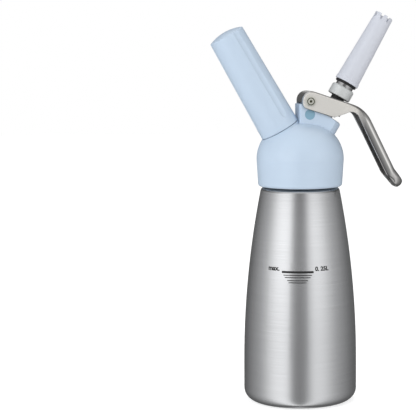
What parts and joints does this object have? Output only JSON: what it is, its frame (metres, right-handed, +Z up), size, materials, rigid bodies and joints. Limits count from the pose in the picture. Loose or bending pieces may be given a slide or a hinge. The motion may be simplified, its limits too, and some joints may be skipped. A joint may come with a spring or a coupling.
{
  "type": "whipped cream dispenser",
  "caption": "Hand-held gas whipper: round metal bottle, screw-on head with slanted gas charger holder, squeeze lever valve and toothed decorator tip.",
  "frame": {"origin": "centre of the bottle's flat base, on the surface it stands on", "axes": "+Z up along the bottle's axis; the charger holder leans towards -X and the lever and tip lean towards +X; the lever's pivot runs along Y"},
  "size_m": [0.121, 0.0706, 0.2437],
  "materials": {
    "brushed_aluminium": "satin",
    "blue_paint": "satin",
    "teal_plug": "satin",
    "satin_steel": "satin",
    "steel_pin": "polished",
    "spring_steel": "satin",
    "collar_metal": "satin",
    "brass_bush": "satin",
    "tip_plastic": "satin",
    "ring_rubber": "matte",
    "gasket_rubber": "matte",
    "charger_steel": "polished"
  },
  "bodies": {
    "bottle": {"bottle": "brushed_aluminium"},
    "head_seal": {"head_gasket": "gasket_rubber"},
    "head": {"head_casting": "blue_paint", "side_plugs": "teal_plug", "pivot_pin": "steel_pin", "pivot_clip": "spring_steel", "valve_bush": "brass_bush", "stem_o_ring": "gasket_rubber", "valve_spring": "spring_steel", "charger_spigot": "collar_metal", "piercing_pin": "steel_pin", "piercer_seal": "gasket_rubber", "check_valve_cage": "brass_bush", "check_valve_spring": "spring_steel"},
    "lever": {"lever": "satin_steel"},
    "valve": {"valve_stem": "steel_pin", "valve_seal": "gasket_rubber", "valve_washer": "steel_pin", "valve_nut": "steel_pin", "thrust_collar": "spring_steel", "stem_sleeve": "ring_rubber", "tip_adapter": "collar_metal"},
    "tip_carriage": {"tip_ring": "ring_rubber"},
    "tip": {"decorator_tip": "tip_plastic"},
    "charger": {"gas_charger": "charger_steel"},
    "holder": {"charger_holder": "blue_paint", "holder_insert": "collar_metal"},
    "inlet_valve": {"inlet_check_valve": "brass_bush"}
  },
  "joints": [
    {"name": "head_rise", "type": "slide", "parent": "bottle", "child": "head_seal", "axis": [0, 0, 1], "range_m": [0, 0.0105]},
    {"name": "head_unscrew", "type": "hinge", "parent": "head_seal", "child": "head", "pos_m": [0, 0, 0.1484], "axis": [0, 0, 1], "range_deg": [0, 1081]},
    {"name": "holder_travel", "type": "slide", "parent": "head", "child": "charger", "axis": [-0.5, 0, 0.866], "range_m": [0, 0.008]},
    {"name": "holder_unscrew", "type": "hinge", "parent": "charger", "child": "holder", "pos_m": [0, 0, 0.1484], "axis": [-0.5, 0, 0.866], "range_deg": [0, 1441]},
    {"name": "lever_pivot", "type": "hinge", "parent": "head", "child": "lever", "pos_m": [0.00465, 0, 0.188], "axis": [0, 1, 0], "range_deg": [0, 12], "stiffness_Nm_per_rad": 1.45, "springref_deg": -14.32},
    {"name": "valve_slide", "type": "slide", "parent": "head", "child": "valve", "axis": [-0.5, 0, -0.866], "range_m": [0, 0.0035], "deforming": ["valve_spring"]},
    {"name": "tip_travel", "type": "slide", "parent": "valve", "child": "tip_carriage", "axis": [0.5, 0, 0.866], "range_m": [0, 0.008]},
    {"name": "tip_unscrew", "type": "hinge", "parent": "tip_carriage", "child": "tip", "pos_m": [0, 0, 0.1484], "axis": [0.5, 0, 0.866], "range_deg": [0, 1441]},
    {"name": "inlet_valve_slide", "type": "slide", "parent": "head", "child": "inlet_valve", "axis": [0.5, 0, -0.866], "range_m": [0, 0.0012], "stiffness_N_per_m": 100, "springref_m": -0.002, "deforming": ["check_valve_spring"]}
  ],
  "couplings": [
    {"joint": "head_unscrew", "follows": "head_rise", "rad_per_m": 1795.2},
    {"joint": "holder_unscrew", "follows": "holder_travel", "rad_per_m": 3141.6},
    {"joint": "valve_slide", "follows": "lever_pivot", "m_per_rad": 0.016},
    {"joint": "tip_unscrew", "follows": "tip_travel", "rad_per_m": 3141.6}
  ]
}
